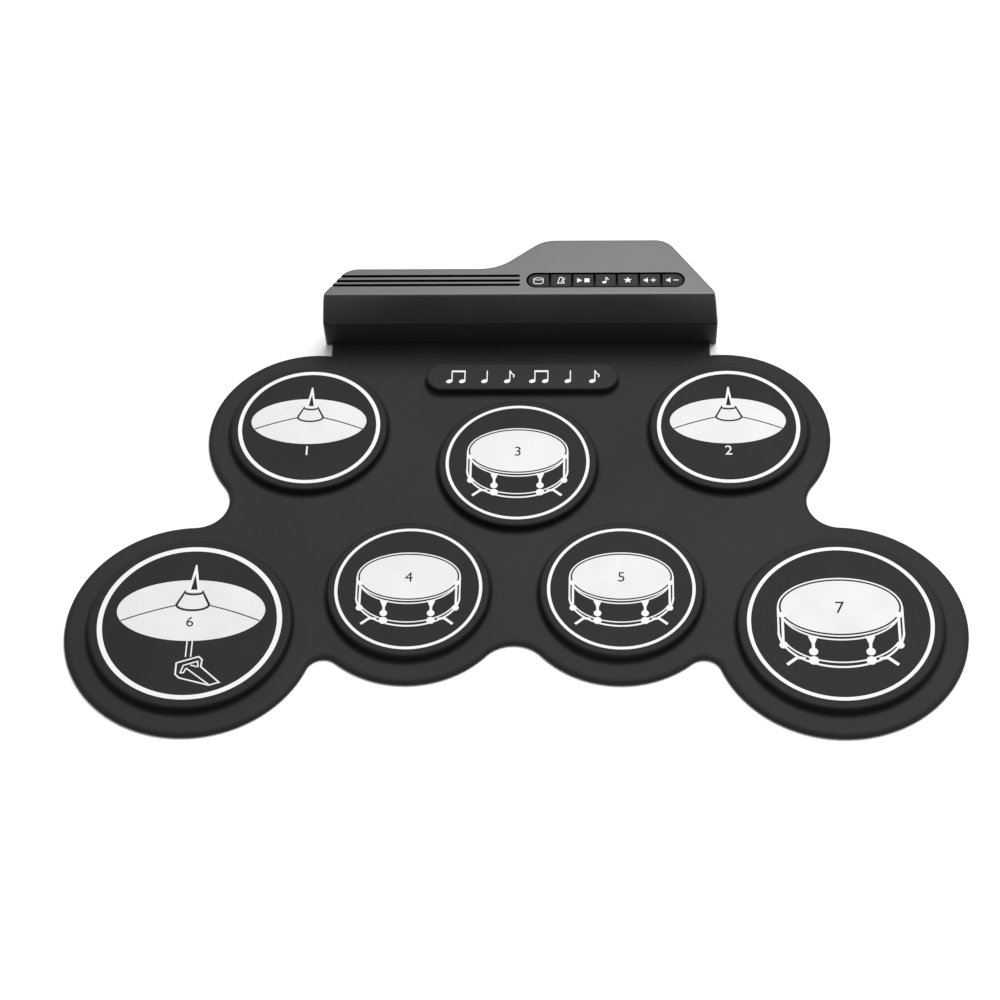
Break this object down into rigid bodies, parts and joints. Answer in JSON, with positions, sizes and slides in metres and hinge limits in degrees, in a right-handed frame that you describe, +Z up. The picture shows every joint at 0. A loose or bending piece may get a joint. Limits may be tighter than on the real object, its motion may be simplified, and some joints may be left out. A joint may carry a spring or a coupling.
{
  "type": "electronic drum pad",
  "caption": "Roll-up silicone drum mat with raised round striking pads on a lobed outline, clamped to a low stepped plastic controller with a row of push keys.",
  "frame": {"origin": "on the table, under the middle of the whole outline", "axes": "+X to the player's right, +Y away from the player towards the controller, +Z up"},
  "size_m": [0.4502, 0.2898, 0.041],
  "materials": {
    "silicone_mat": "matt silicone with a fine bloom",
    "silicone_pad": "matt silicone with white print",
    "foam": "closed cell foam",
    "printed_film": "amber film with printed tracks",
    "steel": "bright plated steel",
    "shell_upper": "satin moulded plastic",
    "shell_lower": "fine textured moulded plastic",
    "rubber": "matt rubber",
    "key_plastic": "soft satin plastic with white symbols",
    "black_plastic": "moulded black plastic",
    "circuit_board": "green solder mask",
    "wire": "red insulated wire",
    "cell_jacket": "plain grey metal jacket"
  },
  "bodies": {
    "controller": {"mat_neck": "silicone_mat", "film_tail": "printed_film", "key_ribbon": "printed_film", "neck_clamp_bar": "steel", "clamp_screws": "steel", "case_screws": "steel", "key_board_screws": "steel", "main_board_screws": "steel", "usb_socket": "steel", "switch_body": "steel", "battery_contacts": "steel", "speaker_magnet": "steel", "board_capacitors": "steel", "top_case": "shell_upper", "bottom_case": "shell_lower", "speaker_basket": "shell_lower", "rubber_feet": "rubber", "key_membrane": "rubber", "key_domes": "rubber", "sound_chip": "black_plastic", "flex_connector": "black_plastic", "phones_jack": "black_plastic", "aux_jack": "black_plastic", "pedal_jacks": "black_plastic", "speaker_cone": "black_plastic", "key_board": "circuit_board", "main_board": "circuit_board", "speaker_wires": "wire", "battery_wires": "wire", "batteries": "cell_jacket"},
    "mat": {"mat_top_skin": "silicone_mat", "mat_base_sheet": "silicone_mat", "sensor_film": "printed_film", "label_bar": "silicone_mat", "foam_crash": "foam", "foam_ride": "foam", "foam_high_tom": "foam", "foam_snare": "foam", "foam_mid_tom": "foam", "foam_hi_hat": "foam", "foam_floor_tom": "foam"},
    "pad_crash": {"pad_crash": "silicone_pad"},
    "pad_ride": {"pad_ride": "silicone_pad"},
    "pad_high_tom": {"pad_high_tom": "silicone_pad"},
    "pad_snare": {"pad_snare": "silicone_pad"},
    "pad_mid_tom": {"pad_mid_tom": "silicone_pad"},
    "pad_hi_hat": {"pad_hi_hat": "silicone_pad"},
    "pad_floor_tom": {"pad_floor_tom": "silicone_pad"},
    "key_kit": {"key_kit": "key_plastic"},
    "key_click": {"key_click": "key_plastic"},
    "key_play_stop": {"key_play_stop": "key_plastic"},
    "key_demo": {"key_demo": "key_plastic"},
    "key_special": {"key_special": "key_plastic"},
    "key_volume_up": {"key_volume_up": "key_plastic"},
    "key_volume_down": {"key_volume_down": "key_plastic"},
    "switch_slider": {"switch_slider": "black_plastic"},
    "battery_door": {"battery_door": "shell_lower"}
  },
  "joints": [
    {"name": "mat_fold", "type": "hinge", "parent": "controller", "child": "mat", "pos_m": [0, 0.1, 0.003], "axis": [-1, 0, 0], "range_deg": [0, 80]},
    {"name": "press_crash", "type": "slide", "parent": "mat", "child": "pad_crash", "axis": [0, 0, 1], "range_m": [-0.001, 0], "stiffness_N_per_m": 3000, "springref_m": 0.0002, "deforming": ["foam_crash"]},
    {"name": "press_ride", "type": "slide", "parent": "mat", "child": "pad_ride", "axis": [0, 0, 1], "range_m": [-0.001, 0], "stiffness_N_per_m": 3000, "springref_m": 0.0002, "deforming": ["foam_ride"]},
    {"name": "press_high_tom", "type": "slide", "parent": "mat", "child": "pad_high_tom", "axis": [0, 0, 1], "range_m": [-0.001, 0], "stiffness_N_per_m": 3000, "springref_m": 0.0002, "deforming": ["foam_high_tom"]},
    {"name": "press_snare", "type": "slide", "parent": "mat", "child": "pad_snare", "axis": [0, 0, 1], "range_m": [-0.001, 0], "stiffness_N_per_m": 3000, "springref_m": 0.0002, "deforming": ["foam_snare"]},
    {"name": "press_mid_tom", "type": "slide", "parent": "mat", "child": "pad_mid_tom", "axis": [0, 0, 1], "range_m": [-0.001, 0], "stiffness_N_per_m": 3000, "springref_m": 0.0002, "deforming": ["foam_mid_tom"]},
    {"name": "press_hi_hat", "type": "slide", "parent": "mat", "child": "pad_hi_hat", "axis": [0, 0, 1], "range_m": [-0.001, 0], "stiffness_N_per_m": 3000, "springref_m": 0.0002, "deforming": ["foam_hi_hat"]},
    {"name": "press_floor_tom", "type": "slide", "parent": "mat", "child": "pad_floor_tom", "axis": [0, 0, 1], "range_m": [-0.001, 0], "stiffness_N_per_m": 3000, "springref_m": 0.0002, "deforming": ["foam_floor_tom"]},
    {"name": "press_key_kit", "type": "slide", "parent": "controller", "child": "key_kit", "axis": [0, 0, 1], "range_m": [-0.001, 0], "stiffness_N_per_m": 200, "springref_m": 0.0005, "deforming": ["key_domes"]},
    {"name": "press_key_click", "type": "slide", "parent": "controller", "child": "key_click", "axis": [0, 0, 1], "range_m": [-0.001, 0], "stiffness_N_per_m": 200, "springref_m": 0.0005, "deforming": ["key_domes"]},
    {"name": "press_key_play_stop", "type": "slide", "parent": "controller", "child": "key_play_stop", "axis": [0, 0, 1], "range_m": [-0.001, 0], "stiffness_N_per_m": 200, "springref_m": 0.0005, "deforming": ["key_domes"]},
    {"name": "press_key_demo", "type": "slide", "parent": "controller", "child": "key_demo", "axis": [0, 0, 1], "range_m": [-0.001, 0], "stiffness_N_per_m": 200, "springref_m": 0.0005, "deforming": ["key_domes"]},
    {"name": "press_key_special", "type": "slide", "parent": "controller", "child": "key_special", "axis": [0, 0, 1], "range_m": [-0.001, 0], "stiffness_N_per_m": 200, "springref_m": 0.0005, "deforming": ["key_domes"]},
    {"name": "press_key_volume_up", "type": "slide", "parent": "controller", "child": "key_volume_up", "axis": [0, 0, 1], "range_m": [-0.001, 0], "stiffness_N_per_m": 200, "springref_m": 0.0005, "deforming": ["key_domes"]},
    {"name": "press_key_volume_down", "type": "slide", "parent": "controller", "child": "key_volume_down", "axis": [0, 0, 1], "range_m": [-0.001, 0], "stiffness_N_per_m": 200, "springref_m": 0.0005, "deforming": ["key_domes"]},
    {"name": "power_switch", "type": "slide", "parent": "controller", "child": "switch_slider", "axis": [1, 0, 0], "range_m": [0, 0.003]},
    {"name": "battery_door_off", "type": "slide", "parent": "controller", "child": "battery_door", "axis": [0, 0, -1], "range_m": [0, 0.02]}
  ]
}
